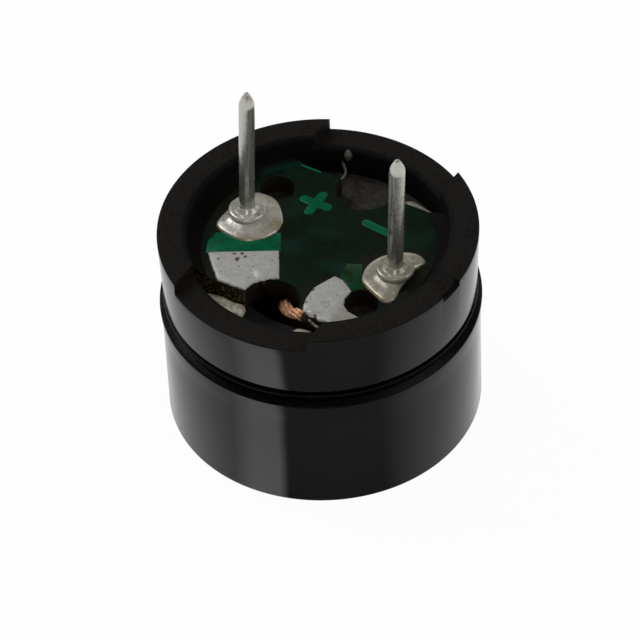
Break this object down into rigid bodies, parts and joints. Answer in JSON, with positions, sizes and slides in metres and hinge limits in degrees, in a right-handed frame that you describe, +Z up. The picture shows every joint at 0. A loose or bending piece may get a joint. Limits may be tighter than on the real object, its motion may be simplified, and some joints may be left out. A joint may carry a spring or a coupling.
{
  "type": "two-pin magnetic buzzer",
  "caption": "Round black through-hole magnetic buzzer lying on its sound face, with tinned pins standing up from a recessed circuit board inside a stepped stand-off rim.",
  "frame": {"origin": "centre of the sound face, which the part lies on", "axes": "+Z up the body's axis from the sound face towards the pins, +X from the positive pin to the negative pin, -Y towards the bite where the coil's wire comes out"},
  "size_m": [0.0122, 0.0122, 0.0135],
  "materials": {
    "case_plastic": "glossy black moulding",
    "ring_plastic": "glossy sides, finely textured rim",
    "board_laminate": "phenolic laminate with a dark green solder mask",
    "sealant": "cured glossy dark resin",
    "tinned_pin": "bright tin plate",
    "solder": "satin solder with flux stains",
    "enamelled_copper": "enamelled copper wire",
    "plated_steel": "zinc-plated steel",
    "ferrite": "dark grey sintered ferrite"
  },
  "bodies": {
    "root": {"front_case": "case_plastic", "base_ring": "ring_plastic", "circuit_board": "board_laminate", "board_sealant": "sealant", "terminal_pin_positive": "tinned_pin", "terminal_pin_negative": "tinned_pin", "solder_joint_positive": "solder", "solder_joint_negative": "solder", "solder_land_positive": "solder", "solder_land_negative": "solder", "coil_winding": "enamelled_copper", "coil_lead_positive": "enamelled_copper", "coil_lead_negative": "enamelled_copper", "yoke_plate": "plated_steel", "pole_core": "plated_steel", "diaphragm": "plated_steel", "diaphragm_weight": "plated_steel", "ring_magnet": "ferrite"}
  },
  "joints": []
}
